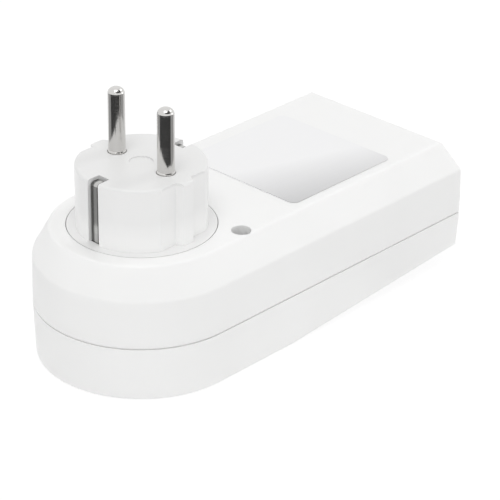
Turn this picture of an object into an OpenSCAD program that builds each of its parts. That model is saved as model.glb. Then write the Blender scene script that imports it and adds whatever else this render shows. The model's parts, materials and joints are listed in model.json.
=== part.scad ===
// Plug-in power meter for a round earthed outlet.
// The housing lies on its front face, the plug pins point up along +Z and +X runs to the display end.
// Modules are drawn about the plug axis and moved by place(), so that the housing is centred on the origin.

/* [Housing] */
// Length of the housing from the round plug end to the square display end
body_length = 132.6; // [128:0.2:150]
// Width of the housing at the parting line
body_width = 61.2; // [60.6:0.2:68]
// Height of the housing from the front face to the rear face
body_height = 38.8; // [37:0.2:46]
// Height of the parting line above the front face
parting_height = 16.3; // [14:0.1:19]
// Wall thickness of both shells
wall = 2.2; // [1.8:0.1:2.5]
// Height of the long bevel round the rear face
bevel_drop = 8.7; // [7:0.1:11]
// Inset of the long bevel along the sides of the rear face
bevel_inset = 4.8; // [3.6:0.1:5]
// Inset of the long bevel at the display end of the rear face
end_inset = 4.1; // [3.6:0.1:5]
// Draft of the front shell from the parting line to the front face
front_draft = 0.6; // [0.3:0.1:1]
// Draft of the rear shell from the parting line to the bevel
rear_draft = 0.2; // [0.1:0.1:0.5]
// Rise of the front panel from its bend to the display end
panel_rise = 5.3; // [3:0.1:6.5]
// Distance from the plug axis to the bend in the front face
bend_offset = 25.5; // [25:0.1:28]
// Radius of the bend in the front face
bend_radius = 150; // [100:10:250]
// Radius of the upright corners at the display end
corner_radius = 1; // [1:0.2:5]
// Rounding of the edge of the rear face
edge_radius = 1.2; // [0.6:0.1:1.8]
// Rounding of the edge of the front face
front_edge = 0.6; // [0.3:0.1:1.2]
// Width and depth of the shadow groove at the parting line
groove = 0.5; // [0.3:0.05:0.8]
// Height of the lip that locates the shells
lip_height = 2; // [1.5:0.1:3]
// Clearance between pieces that are fitted together
fit = 0.2; // [0.1:0.05:0.3]

/* [Closing] */
// Distance of the screw wells from the plug axis along the housing
well_x = 15.7; // [14:0.1:18]
// Distance of the screw wells from the centre line
well_y = 22.7; // [22.5:0.1:23.6]
// Radius of the screw wells
well_radius = 2.8; // [2.7:0.1:3.2]
// Wall of the towers round the screw wells
well_wall = 1.3; // [1:0.1:1.4]
// Thickness of the seat under a case screw's head
seat_thickness = 3.5; // [2.5:0.1:4.5]
// Shank radius of the case screws
case_screw_radius = 1.45; // [1.2:0.05:1.6]
// Shank length of the case screws
case_screw_length = 12; // [10:0.5:13]
// Height of the hooks above the parting line
hook_height = 6; // [5:0.1:7]
// Width of a hook
hook_width = 8; // [6:0.5:12]
// Distance of each hook from the centre line
hook_y = 12; // [9:0.5:16]

/* [Plug] */
// Radius of the round plug base
plug_radius = 18.2; // [18:0.1:18.6]
// Height of the plug base above the rear face
plug_height = 18.5; // [17.5:0.1:20]
// Wall of the hollow plug base
plug_wall = 2; // [1.6:0.1:2.2]
// Thickness of the plug face
face_thickness = 5; // [4:0.1:6]
// Rounding of the plug face's edge
face_edge = 0.8; // [0.6:0.1:1.6]
// Distance of the side flats from the plug axis
flat_offset = 16.1; // [15.9:0.1:16.4]
// Width of the guide rib at its foot
rib_foot = 5.8; // [5:0.1:6.5]
// Width of the guide rib at its crest
rib_crest = 3.5; // [3:0.1:4.2]
// Radius of the disc that fills the opening of the rear shell
disc_radius = 20.8; // [20.4:0.1:21]
// Gap between the disc and the rear shell
disc_gap = 0.2; // [0.15:0.05:0.4]
// Radius of the flange under the rear wall
flange_radius = 23.1; // [22.4:0.1:23.2]
// Thickness of the flange
flange_thickness = 2.2; // [1.8:0.1:2.6]
// Distance between the pin centres
pin_spacing = 19; // [18.8:0.05:19.2]
// Radius of the pins
pin_radius = 2.4; // [2.3:0.01:2.5]
// Length of the pins above the plug face
pin_length = 19; // [18:0.1:20]
// Rounding of the pin tips
tip_round = 1.8; // [1:0.1:2.2]
// Width of the earth slots in the plug base
slot_width = 4; // [3.8:0.1:4.6]
// Depth of the earth slots from the round of the plug base
slot_depth = 4.4; // [4:0.1:4.8]

/* [Outlet] */
// Radius of the outlet's recess
socket_radius = 19.6; // [19.4:0.05:20]
// Depth of the outlet's recess
socket_depth = 17.5; // [17:0.1:18.5]
// Wall of the outlet cup
cup_wall = 1.5; // [1.2:0.1:1.7]
// Thickness of the outlet floor
floor_thickness = 2; // [1.6:0.1:2.4]
// Radius of the pin holes in the outlet floor
pin_hole_radius = 2.9; // [2.7:0.05:3]
// Radius of the flange of the outlet cup
cup_flange_radius = 23.4; // [22.8:0.1:23.6]
// Thickness of the flange of the outlet cup
cup_flange_thickness = 2.2; // [1.6:0.1:2.6]
// Radius of the hub that the shutter turns on
hub_radius = 3; // [2.6:0.1:3.2]
// Running clearance of the shutter on its hub
hub_clearance = 0.06; // [0.04:0.01:0.09]
// Height of the shutter's blades
blade_height = 3.5; // [3:0.1:4]
// Radius of the shutter's blades
blade_radius = 13.2; // [12.9:0.1:13.8]
// Half of a blade's angle in degrees
blade_angle = 22; // [20:0.5:23]
// Distance of the carrier screws from the plug axis
carrier_screw_x = 14.5; // [14.2:0.1:14.6]
// Thickness of the carrier plate
carrier_thickness = 3; // [2.6:0.1:3.4]
// Radius of the carrier plate
carrier_radius = 17.8; // [17.6:0.1:18.4]
// Outer radius of the sleeve contacts
contact_radius = 3.1; // [2.95:0.05:3.15]
// Thickness of the contacts, straps and earth strips
strip_thickness = 0.8; // [0.6:0.05:0.9]
// Width of the earth strips
strip_width = 3.4; // [3:0.1:3.6]

/* [Front panel] */
// Length of the lens across the housing
lens_width = 44; // [38:0.5:46]
// Height of the lens along the panel
lens_height = 28; // [24:0.5:30]
// Thickness of the lens
lens_thickness = 1.2; // [0.8:0.1:1.3]
// Width of the ledge that carries the lens
lens_ledge = 2; // [1.5:0.1:3]
// Distance of the lens from the display end of the panel
lens_margin = 12; // [11.5:0.1:14]
// Thickness of the display glass
glass_thickness = 2.6; // [2:0.1:3]
// Distance of the row of keys from the bend
key_row = 17.5; // [16.5:0.1:19]
// Spacing of the keys across the panel
key_pitch = 12.4; // [12:0.1:13]
// Length of a key cap across the panel
key_length = 9; // [8:0.1:9.2]
// Width of a key cap along the panel
key_width = 6.4; // [5:0.1:7]
// Depth of the field round the keys
field_depth = 0.9; // [0.8:0.05:1]
// Height of the key caps above that field
key_proud = 0.6; // [0.55:0.05:0.75]
// Clearance round the key caps
key_gap = 0.25; // [0.2:0.05:0.35]
// Width of the rim that keeps a key behind the panel
key_rim = 1.1; // [0.8:0.05:1.2]
// Radius of the reset key
reset_radius = 1.4; // [1.2:0.05:1.6]
// Distance of the reset key from the bend
reset_row = 7.5; // [7:0.1:8]
// Depth of the display board behind the panel's outer face
display_depth = 8.4; // [8:0.1:9]
// Height of the key switches on the display board
switch_height = 3.5; // [3.2:0.1:3.8]

/* [Boards] */
// Thickness of both circuit boards
board_thickness = 1.6; // [1.2:0.1:2]
// Height of the bosses that carry the power board
board_boss = 4; // [3.5:0.1:4.5]
// Distance of the power board from the middle of the room between the outlet and the display end
power_shift = 0.5; // [-1:0.05:1.5]
// Length of the power board
power_length = 57; // [56:0.5:60]
// Width of the power board
power_width = 40; // [39:0.5:44]
// Inset of the board screws from the board's edges
screw_inset = 4; // [3.5:0.1:4.5]
// Shank radius of the board screws
board_screw_radius = 1; // [0.9:0.05:1.1]
// Shank length of the board screws
board_screw_length = 5; // [4.5:0.1:5.2]
// Radius of the bosses of the board screws
boss_radius = 2.6; // [2.2:0.1:2.8]
// Width of the flat leads that carry the mains current
lead_width = 3; // [2.4:0.1:3.4]
// Width of the flat neutral lead that measures the voltage
sense_width = 2; // [1.5:0.1:3]

/* [Label] */
// Length of the label along the housing
label_length = 41.4; // [36:0.2:43]
// Width of the label across the housing
label_width = 42.8; // [38:0.2:44]
// Distance of the label's centre from the plug axis
label_x = 58; // [57:0.2:61]
// Distance of the label's centre from the centre line
label_y = -1.1; // [-1.5:0.1:1.5]
// Corner radius of the label
label_corner = 2.2; // [2:0.1:5]
// Thickness of the label
label_thickness = 0.2; // [0.15:0.05:0.4]

/* [Hidden] */

$fn = 48;
round_fn = 96;
over = 1;

// Plan of the housing, measured from the plug axis
half_width = body_width / 2;
end_x = body_length - half_width;
plug_x = half_width - body_length / 2;
wall_radius = half_width - rear_draft;
front_radius = half_width - front_draft;
rear_radius = wall_radius - bevel_inset;
bevel_foot = body_height - bevel_drop;
bevel_angle = atan(bevel_inset / bevel_drop);
end_angle = atan(end_inset / bevel_drop);
plan_slack = 0.2;

// Front panel
panel_run = end_x - front_draft - bend_offset;
panel_tilt = atan(panel_rise / panel_run);
panel_length = panel_run / cos(panel_tilt);
lens_row = panel_length - lens_margin - lens_height / 2;
reset_y = 0;
reset_sink = 0.4;

// Levels of the plug
rear_inside = body_height - wall;
flange_z = rear_inside - flange_thickness;
face_z = body_height + plug_height;
face_inside = face_z - face_thickness;
tip_z = face_z + pin_length;
pin_y = pin_spacing / 2;
hollow_radius = plug_radius - plug_wall;
hollow_y = flat_offset - plug_wall;
slot_floor = plug_radius - slot_depth;
gate_radius = 3.4;
gate_depth = 0.3;

// Pins, from the collar to the riveted tail
collar_radius = pin_radius + 0.2;
collar_height = 0.35;
collar_sink = 0.4;
collar_gap = 0.15;
collar_slope = 0.25;
shank_radius = pin_radius - 0.4;
tail_radius = pin_radius - 0.8;
rivet_radius = pin_radius + 0.2;
rivet_height = 1;

// Levels of the outlet
cup_radius = socket_radius + cup_wall;
floor_back = socket_depth + floor_thickness;
shutter_z = floor_back + fit;
blade_ramp = 11.5;
blade_ramp_start = 5.2;
hub_ring = 2;
carrier_z = shutter_z + blade_height + 1;
carrier_top = carrier_z + carrier_thickness;
hub_top = carrier_top - 1.2;
coil_radius = hub_radius + 0.9;
coil_wire = 0.35;
coil_turns = 3;
coil_bore = coil_radius + coil_wire + 1.4;
guide_x = [4, 7];
guide_y = flat_offset + 0.8;
guide_start = 3;
sleeve_wall = 1.7;
sleeve_top = flange_z - 0.4;
contact_wall = 0.75;
contact_top = sleeve_top + 4;
contact_slit = 0.8;
slit_length = 8;
contact_collar = 1.3;
post_radius = 2;
post_place = [8.8, 12.9];
carrier_boss = 2.8;
carrier_screw_radius = 1.25;
carrier_screw_length = 7;

// Earth strips
strip_x = hollow_radius + 0.6;
strip_top = face_z - 1.2;
foot_z = (carrier_top + flange_z) / 2;
clip_x = cup_radius + fit + strip_thickness / 2;
clip_bow = socket_radius - 1;
ring_bottom = floor_back + 1.5;
ring_height = 5;
ring_thickness = 0.6 * strip_thickness;
strip_bend = strip_thickness;

// Neutral strap and tabs of the contacts
strap_y = hollow_y - 2 * fit - strip_thickness;
strap_width = 5;
tab_reach = 9;
tab_y = pin_y - 1;
tab_width = 4;

// Boards
power_bottom = rear_inside - board_boss - board_thickness;
power_room = [clip_x + strip_thickness / 2, end_x - end_inset - wall];
power_middle = (power_room[0] + power_room[1]) / 2 + power_shift;
power_start = power_middle - power_length / 2;
pad_z = power_bottom - 2.5;
display_start = 3.5;
display_end = panel_length - 4.7;
display_half = half_width - front_draft - wall - 2.6;
display_screw_y = display_half - 5;
display_screws = [display_start + 3, display_end - 2.6];
board_corner = 1.5;
board_screw_head = [1.9, 1.3];
case_screw_head = [2.6, 2];
carrier_screw_head = [2.2, 1.6];
pilot_grip = 0.15;
board_pilot = board_screw_radius - pilot_grip;
key_places = [-1.5, -0.5, 0.5, 1.5] * key_pitch;
field_width = key_width + 4;
field_length = 3 * key_pitch + key_length + 4;
field_corner = 4;
switch_size = 6;
stem_radius = 1.7;
stem_depth = 1.4;
stem_travel = 0.8;
rim_thickness = 1;
holder_wall = 1.4;
strip_rows = [-1, 1] * (lens_height / 2 - 2.2);

// Components of the power board: place along and across the board, and size
shunt_place = [20, 6];
shunt_span = 8;
shunt_drop = 6;
shunt_width = 3;
film_place = [19, -12.5];
film_size = [18, 8.5, 13];
film_corner = 0.8;
can_place = [35, -13];
can_radius = 5;
can_height = 13;
can_groove = 2.5;
bead_offset = 0.3;
bead_radius = 0.7;
varistor_place = [29, 14];
varistor_radius = 5;
varistor_thickness = 3.6;
varistor_leg = 1.6;
leg_radius = 0.4;
leg_place = [1, 2.5];
leg_sink = 2;
chip_place = [30, 5];
chip_size = [10.2, 7.4, 2];
chip_lift = 0.15;
chip_pitch = 1.27;
chip_foot = [0.4, 1.4, 0.6];
chip_overlap = 0.4;
chip_leads = 8;
crystal_place = [41, 13.5];
crystal_size = [11, 4.6, 3.6];
crystal_corner = 2.2;
cell_place = [46.5, -1];
cell_radius = 7.75;
cell_height = 6;
cell_rim = 0.6;
cell_tab = [4, 3, 0.3];
ribbon_place = [21, 13.5];
ribbon_width = 9;
ribbon_thickness = 0.6;

function unit(v) = v / norm(v);

// Points of the arc that rounds the corner b between its neighbours a and c
function fillet(a, b, c, r, steps = 6) =
    let (
        u = unit(a - b),
        v = unit(c - b),
        half = acos(u * v) / 2,
        centre = b + unit(u + v) * r / sin(half),
        first = b + u * r / tan(half) - centre,
        last = b + v * r / tan(half) - centre,
        from = atan2(first.y, first.x),
        sweep = (atan2(last.y, last.x) - from + 540) % 360 - 180
    )
    [
        for (i = [0:steps])
            let (turn = from + sweep * i / steps)
            centre + r * [cos(turn), sin(turn)]
    ];

// An outline with its corners rounded, 0 for a sharp one
function rounded(points, radii) =
    let (n = len(points))
    [
        for (i = [0:n - 1])
            each radii[i] > 0
                ? fillet(points[(i + n - 1) % n], points[i], points[(i + 1) % n], radii[i])
                : [points[i]]
    ];

function reverse(list) = [for (i = [len(list) - 1:-1:0]) list[i]];

// A path moved sideways, with its corners mitred
function beside(path, offset) =
    let (
        last = len(path) - 1,
        runs = [for (i = [0:last - 1]) unit(path[i + 1] - path[i])],
        sides = [for (run = runs) [-run.y, run.x]]
    )
    [
        for (i = [0:last])
            let (before = sides[max(i - 1, 0)], after = sides[min(i, last - 1)])
            path[i] + offset * (before + after) / (1 + before * after)
    ];

// Half of the cross-section of the housing, moved inwards by t
function half_profile(t, edge) =
    rounded(
        [
            [0, t],
            [front_radius - t, t],
            [half_width - t, parting_height],
            [wall_radius - t, bevel_foot - t * tan(bevel_angle / 2)],
            [rear_radius - t * tan(45 - bevel_angle / 2), body_height - t],
            [0, body_height - t]
        ],
        [0, edge > 0 ? front_edge : 0, 0, 2 * edge, edge, 0]
    );

function cross_profile(t, edge) =
    let (side = [for (p = half_profile(t, edge)) if (p.x > 0) p])
    concat(side, reverse([for (p = side) [-p.x, p.y]]));

// Height of a plane parallel to the front panel, at a depth behind its outer face
function panel_z(x, depth) = (x - bend_offset) * tan(panel_tilt) + depth / cos(panel_tilt);

// Outline of the housing from the side, moved inwards by t
function side_profile(t, edge, bend) =
    let (start = -half_width - over, front_end = end_x - front_draft - t)
    rounded(
        [
            [start, t],
            [bend_offset - t * tan(panel_tilt / 2), t],
            [front_end, panel_z(front_end, t)],
            [end_x - t, parting_height],
            [end_x - rear_draft - t, bevel_foot - t * tan(end_angle / 2)],
            [end_x - rear_draft - end_inset - t * tan(45 - end_angle / 2), body_height - t],
            [start, body_height - t]
        ],
        [0, bend, edge > 0 ? front_edge : 0, 0, 2 * edge, edge, 0]
    );

module place() {
    translate([plug_x, 0, 0]) children();
}

// Moves children to the front panel: X runs up the panel from the bend, Z runs into the housing
module panel_frame() {
    translate([bend_offset, 0, 0]) rotate([0, -panel_tilt, 0]) children();
}

module rounded_rect(size, r) {
    square([size.x - 2 * r, size.y], center = true);
    square([size.x, size.y - 2 * r], center = true);
    for (sx = [-1, 1], sy = [-1, 1])
        translate([sx * (size.x / 2 - r), sy * (size.y / 2 - r)]) circle(r);
}

module both_pins() {
    for (s = [-1, 1]) translate([0, s * pin_y, 0]) children();
}

module both_ends() {
    for (turn = [0, 180]) rotate(turn) children();
}

// Solid bounded by the housing's outside, moved inwards by t
module envelope(t = 0) {
    edge = t == 0 ? edge_radius : 0;
    bend = t == 0 ? bend_radius : 0;
    reach = end_x + plan_slack - t;
    intersection() {
        union() {
            rotate(90) rotate_extrude(angle = 180, $fn = round_fn) polygon(half_profile(t, edge));
            rotate([90, 0, 90]) linear_extrude(end_x + over) polygon(cross_profile(t, edge));
        }
        rotate([90, 0, 0])
            linear_extrude(body_width + 2 * over, center = true) polygon(side_profile(t, edge, bend));
        translate([0, 0, -over])
            linear_extrude(body_height + 2 * over)
                rounded_rect([2 * reach, body_width + 2 * plan_slack - 2 * t], max(corner_radius - t, 1));
    }
}

module slab(bottom, top) {
    translate([-half_width - over, -half_width - over, bottom])
        cube([body_length + 2 * over, body_width + 2 * over, top - bottom]);
}

module shell_slice(bottom, top, t) {
    intersection() {
        envelope(t);
        slab(bottom, top);
    }
}

// Screw with its head above z = 0 and its shank below
module screw(radius, length, head) {
    translate([0, 0, -length]) cylinder(r = radius, h = length + head.y / 2);
    rotate_extrude()
        polygon(rounded([[0, 0], [head.x, 0], [head.x, head.y], [0, head.y]], [0, 0, head.y / 2, 0]));
}

// Strip bent along points in the XZ plane
module bent_strip(points, thickness, width) {
    last = len(points) - 1;
    path = rounded(points, [for (i = [0:last]) i == 0 || i == last ? 0 : strip_bend]);
    rotate([90, 0, 0])
        linear_extrude(width, center = true)
            polygon(concat(beside(path, thickness / 2), reverse(beside(path, -thickness / 2))));
}

module well_places() {
    for (s = [-1, 1]) translate([well_x, s * well_y, 0]) children();
}

module power_screw_places() {
    for (sx = [-1, 1], sy = [-1, 1])
        translate([
            power_middle + sx * (power_length / 2 - screw_inset),
            sy * (power_width / 2 - screw_inset),
            0
        ])
            children();
}

module display_screw_places() {
    for (row = display_screws, s = [-1, 1]) translate([row, s * display_screw_y, 0]) children();
}

module key_outline(grow) {
    r = key_width / 2 + grow;
    straight = key_length - key_width;
    square([2 * r, straight], center = true);
    for (s = [-1, 1]) translate([0, s * straight / 2]) circle(r);
}

// White rear half of the housing, with the plug opening and screw wells
module rear_shell() {
    tower_radius = well_radius + well_wall;
    pocket_bottom = parting_height + hook_height - 2.6;
    color("white") place() difference() {
        union() {
            difference() {
                shell_slice(parting_height, body_height + over, 0);
                envelope(wall);
                shell_slice(parting_height - over, parting_height + lip_height + fit, wall / 2);
            }
            intersection() {
                envelope(wall / 2);
                union() {
                    well_places()
                        translate([0, 0, parting_height]) cylinder(r = tower_radius, h = body_height);
                    power_screw_places()
                        translate([0, 0, rear_inside - board_boss])
                            cylinder(r = boss_radius, h = body_height);
                }
            }
        }
        translate([0, 0, flange_z]) cylinder(r = disc_radius + disc_gap, h = body_height, $fn = round_fn);
        well_places() {
            translate([0, 0, parting_height + seat_thickness]) cylinder(r = well_radius, h = body_height);
            translate([0, 0, parting_height - over])
                cylinder(r = case_screw_radius + fit, h = seat_thickness + 2 * over);
        }
        power_screw_places()
            translate([0, 0, rear_inside - board_boss - over])
                cylinder(r = board_pilot, h = board_screw_length - board_thickness + over);
        for (s = [-1, 1])
            translate([end_x - wall - over, s * hook_y - hook_width / 2 - fit, pocket_bottom])
                cube([over + wall / 2, hook_width + 2 * fit, 3]);
    }
}

// White front half of the housing, with the outlet opening, lens recess and key holes
module front_shell() {
    hook_face = end_x - wall - fit;
    hook_root = end_x - 0.75 * wall;
    hook_thickness = 1.4;
    hook_barb = 0.7;
    hook_step = parting_height + hook_height - 2.2;
    hook_top = parting_height + hook_height;
    boss_wall = 2.1;
    color("white") place() difference() {
        union() {
            difference() {
                union() {
                    shell_slice(-over, parting_height - groove, 0);
                    shell_slice(parting_height - groove, parting_height, groove);
                }
                envelope(wall);
            }
            difference() {
                shell_slice(parting_height, parting_height + lip_height, wall / 2 + fit);
                envelope(wall);
            }
            intersection() {
                envelope(wall / 2);
                union() {
                    well_places() cylinder(r = case_screw_radius + boss_wall, h = parting_height);
                    panel_frame() display_screw_places() cylinder(r = boss_radius, h = display_depth);
                }
            }
            for (s = [-1, 1])
                translate([0, s * hook_y, 0])
                    rotate([90, 0, 0])
                        linear_extrude(hook_width, center = true)
                            polygon([
                                [hook_face - hook_thickness, parting_height - 4],
                                [hook_root, parting_height - 4],
                                [hook_root, parting_height],
                                [hook_face, parting_height],
                                [hook_face, hook_step],
                                [hook_face + fit + hook_barb, hook_step],
                                [hook_face, hook_top],
                                [hook_face - hook_thickness, hook_top]
                            ]);
        }
        translate([0, 0, -over]) cylinder(r = cup_radius + fit, h = wall + 2 * over, $fn = round_fn);
        well_places()
            translate([0, 0, parting_height - case_screw_length + seat_thickness - over])
                cylinder(r = case_screw_radius - pilot_grip, h = case_screw_length + over);
        panel_frame() {
            translate([lens_row, 0, -over])
                linear_extrude(lens_thickness + over)
                    rounded_rect([lens_height + 2 * fit, lens_width + 2 * fit], 2);
            translate([lens_row, 0, -over])
                linear_extrude(wall + 2 * over)
                    rounded_rect([lens_height - 2 * lens_ledge, lens_width - 2 * lens_ledge], 1);
            translate([key_row, 0, -over])
                linear_extrude(field_depth + over) rounded_rect([field_width, field_length], field_corner);
            for (y = key_places)
                translate([key_row, y, -over]) linear_extrude(wall + 2 * over) key_outline(key_gap);
            translate([reset_row, reset_y, -over]) cylinder(r = reset_radius + key_gap, h = wall + 2 * over);
            display_screw_places()
                translate([0, 0, display_depth - board_screw_length + board_thickness])
                    cylinder(r = board_pilot, h = board_screw_length);
        }
    }
}

// What the side flats take off the round plug base, leaving the guide ribs
module flat_cut() {
    for (s = [-1, 1])
        scale([1, s])
            difference() {
                translate([-plug_radius, flat_offset]) square([2 * plug_radius, plug_radius]);
                polygon([
                    [-rib_foot / 2, flat_offset - over],
                    [-rib_foot / 2, flat_offset],
                    [-rib_crest / 2, plug_radius],
                    [-rib_crest / 2, plug_radius + over],
                    [rib_crest / 2, plug_radius + over],
                    [rib_crest / 2, plug_radius],
                    [rib_foot / 2, flat_offset],
                    [rib_foot / 2, flat_offset - over]
                ]);
            }
}

// Moulded plug base with its disc and the flange that the rear shell traps
module plug_insert() {
    pocket_half = slot_width / 2 + plug_wall;
    pocket_depth = hollow_radius - slot_floor + 1.4 * plug_wall;
    color("whitesmoke") place() difference() {
        union() {
            difference() {
                union() {
                    difference() {
                        rotate_extrude($fn = round_fn)
                            polygon(rounded(
                                [
                                    [0, rear_inside],
                                    [plug_radius, rear_inside],
                                    [plug_radius, face_z],
                                    [0, face_z]
                                ],
                                [0, 0, face_edge, 0]
                            ));
                        translate([0, 0, body_height]) linear_extrude(plug_height + over) flat_cut();
                    }
                    translate([0, 0, rear_inside]) cylinder(r = disc_radius, h = wall, $fn = round_fn);
                    translate([0, 0, flange_z])
                        cylinder(r = flange_radius, h = flange_thickness, $fn = round_fn);
                }
                translate([0, 0, flange_z - over])
                    linear_extrude(face_inside - flange_z + over)
                        intersection() {
                            circle(hollow_radius, $fn = round_fn);
                            square([2 * plug_radius, 2 * hollow_y], center = true);
                        }
            }
            both_ends()
                translate([slot_floor - plug_wall, -pocket_half, flange_z])
                    cube([pocket_depth, 2 * pocket_half, face_inside - flange_z + over]);
        }
        both_ends() {
            translate([slot_floor, -slot_width / 2, body_height])
                cube([slot_depth + over, slot_width, plug_height + over]);
            translate([strip_x - fit - strip_thickness / 2, -strip_width / 2 - fit, flange_z - over])
                cube([strip_thickness + 2 * fit, strip_width + 2 * fit, body_height - flange_z + 2 * over]);
        }
        both_pins() {
            translate([0, 0, face_inside - over]) cylinder(r = shank_radius, h = face_thickness + over);
            translate([0, 0, face_z - collar_sink])
                cylinder(r = collar_radius + collar_gap, h = collar_sink + over);
        }
        translate([0, 0, face_z - gate_depth]) cylinder(r = gate_radius, h = gate_depth + over);
    }
}

// Turned pin with a rounded tip, a collar on the plug face and a riveted tail behind it
module plug_pin(side) {
    rivet_z = face_inside - strip_thickness - rivet_height;
    color("gainsboro") place() translate([0, side * pin_y, 0])
        rotate_extrude()
            polygon(rounded(
                [
                    [0, rivet_z],
                    [rivet_radius, rivet_z],
                    [rivet_radius, rivet_z + rivet_height],
                    [tail_radius, rivet_z + rivet_height],
                    [tail_radius, face_inside],
                    [shank_radius, face_inside],
                    [shank_radius, face_z - collar_sink],
                    [collar_radius, face_z - collar_sink],
                    [collar_radius, face_z + collar_height],
                    [pin_radius, face_z + collar_height + collar_slope],
                    [pin_radius, tip_z],
                    [0, tip_z]
                ],
                [0, 0, 0, 0, 0, 0, 0, 0, 0, 0, tip_round, 0]
            ));
}

module pin_line() {
    plug_pin(1);
}

module pin_neutral() {
    plug_pin(-1);
}

// Earth strips in the slots of the plug base, bent in at the top and out to the outlet's clips
module plug_earth_strips() {
    route = [
        [slot_floor + strip_thickness, strip_top],
        [strip_x, strip_top],
        [strip_x, foot_z + strip_thickness / 2],
        [clip_x + strip_thickness / 2, foot_z + strip_thickness / 2]
    ];
    color("silver") place() both_ends() bent_strip(route, strip_thickness, strip_width);
}

// Recessed outlet with pin holes, guide ribs, a hub for the shutter and bosses for the carrier
module socket_insert() {
    guide_width = guide_x[1] - guide_x[0];
    slot_half = strip_width / 2 + 2 * fit;
    slot_top = 14;
    color("whitesmoke") place() difference() {
        union() {
            cylinder(r = cup_radius, h = floor_back, $fn = round_fn);
            translate([0, 0, wall]) cylinder(r = cup_flange_radius, h = cup_flange_thickness, $fn = round_fn);
            cylinder(r = hub_radius, h = hub_top);
            both_ends()
                translate([carrier_screw_x, 0, socket_depth])
                    cylinder(r = carrier_boss, h = carrier_z - socket_depth);
        }
        difference() {
            translate([0, 0, -over]) cylinder(r = socket_radius, h = socket_depth + over, $fn = round_fn);
            for (sx = [-1, 1], sy = [-1, 1])
                translate([
                    sx * (guide_x[0] + guide_x[1]) / 2 - guide_width / 2,
                    sy > 0 ? guide_y : -guide_y - cup_radius,
                    guide_start
                ])
                    cube([guide_width, cup_radius, socket_depth]);
        }
        both_pins()
            translate([0, 0, socket_depth - over])
                cylinder(r = pin_hole_radius, h = floor_thickness + 2 * over);
        both_ends() {
            translate([socket_radius - over, -slot_half, -over])
                cube([cup_flange_radius, 2 * slot_half, slot_top + over]);
            translate([carrier_screw_x, 0, carrier_top - carrier_screw_length - over])
                cylinder(r = carrier_screw_radius - pilot_grip, h = carrier_screw_length + over);
        }
    }
}

// Rotor with two ramped blades that cover the pin holes
module shutter() {
    reach = 2 * blade_radius;
    color("orange") place() translate([0, 0, shutter_z]) difference() {
        union() {
            cylinder(r = hub_radius + hub_ring, h = blade_height);
            both_ends() rotate(90) difference() {
                intersection() {
                    cylinder(r = blade_radius, h = blade_height);
                    linear_extrude(blade_height)
                        polygon([
                            [0, 0],
                            [reach * cos(blade_angle), -reach * sin(blade_angle)],
                            [reach * cos(blade_angle), reach * sin(blade_angle)]
                        ]);
                }
                translate([hub_radius + hub_ring, -blade_ramp_start, 0])
                    rotate([blade_ramp, 0, 0])
                        translate([0, 0, -reach]) cube([reach, reach, reach]);
            }
        }
        translate([0, 0, -over]) cylinder(r = hub_radius + hub_clearance, h = blade_height + 2 * over);
    }
}

// Torsion spring on the hub, with two short legs
module shutter_spring() {
    pitch = 1.8 * coil_wire;
    start = shutter_z + blade_height + coil_wire;
    color("gray") place() translate([0, 0, start]) {
        for (i = [0:coil_turns - 1])
            translate([0, 0, i * pitch])
                rotate_extrude() translate([coil_radius, 0]) circle(coil_wire, $fn = 16);
        for (i = [0, coil_turns - 1])
            translate([coil_radius, 0, i * pitch])
                rotate([0, 90, i == 0 ? 0 : 30]) cylinder(r = coil_wire, h = 1.2, $fn = 16);
    }
}

// Carrier plate with contact sleeves and the posts that hold the plug insert
module contact_carrier() {
    color("ivory") place() difference() {
        union() {
            translate([0, 0, carrier_z]) cylinder(r = carrier_radius, h = carrier_thickness, $fn = round_fn);
            both_pins()
                translate([0, 0, carrier_z])
                    cylinder(r = contact_radius + fit + sleeve_wall, h = sleeve_top - carrier_z);
            for (sx = [-1, 1], sy = [-1, 1])
                translate([sx * post_place.x, sy * post_place.y, carrier_z])
                    cylinder(r = post_radius, h = flange_z - carrier_z);
        }
        translate([0, 0, carrier_z - over]) cylinder(r = coil_bore, h = carrier_thickness + 2 * over);
        both_pins() translate([0, 0, carrier_z - over]) cylinder(r = contact_radius + fit, h = body_height);
        both_ends()
            translate([carrier_screw_x, 0, carrier_z - over])
                cylinder(r = carrier_screw_radius + fit, h = carrier_thickness + 2 * over);
    }
}

// Slit sleeve that grips a pin, with a collar on the carrier and a tab for its lead
module sleeve_contact(side) {
    color("darkkhaki") place() scale([1, side, 1]) difference() {
        union() {
            translate([0, pin_y, carrier_z]) cylinder(r = contact_radius, h = contact_top - carrier_z);
            translate([0, pin_y, sleeve_top])
                cylinder(r = contact_radius + contact_collar, h = strip_thickness);
            translate([0, tab_y - tab_width / 2, sleeve_top]) cube([tab_reach, tab_width, strip_thickness]);
        }
        translate([0, pin_y, carrier_z - over]) cylinder(r = contact_radius - contact_wall, h = body_height);
        for (turn = [0, 90])
            translate([0, pin_y, carrier_z + slit_length / 2 - over])
                rotate(turn) cube([contact_slit, 3 * contact_radius, slit_length + over], center = true);
    }
}

module contact_line() {
    sleeve_contact(1);
}

module contact_neutral() {
    sleeve_contact(-1);
}

// Strap from the neutral pin's tail down to the neutral contact's collar
module neutral_strap() {
    strap_bottom = sleeve_top + strip_thickness;
    color("peru") place() difference() {
        union() {
            translate([-strap_width / 2, -strap_y - strip_thickness, strap_bottom])
                cube([strap_width, strip_thickness, face_inside - strap_bottom]);
            translate([-strap_width / 2, -strap_y - strip_thickness, face_inside - strip_thickness])
                cube([strap_width, strap_y + strip_thickness - pin_y + strap_width / 2, strip_thickness]);
        }
        translate([0, -pin_y, face_inside - strip_thickness - over])
            cylinder(r = tail_radius + fit / 2, h = strip_thickness + 2 * over);
    }
}

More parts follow.
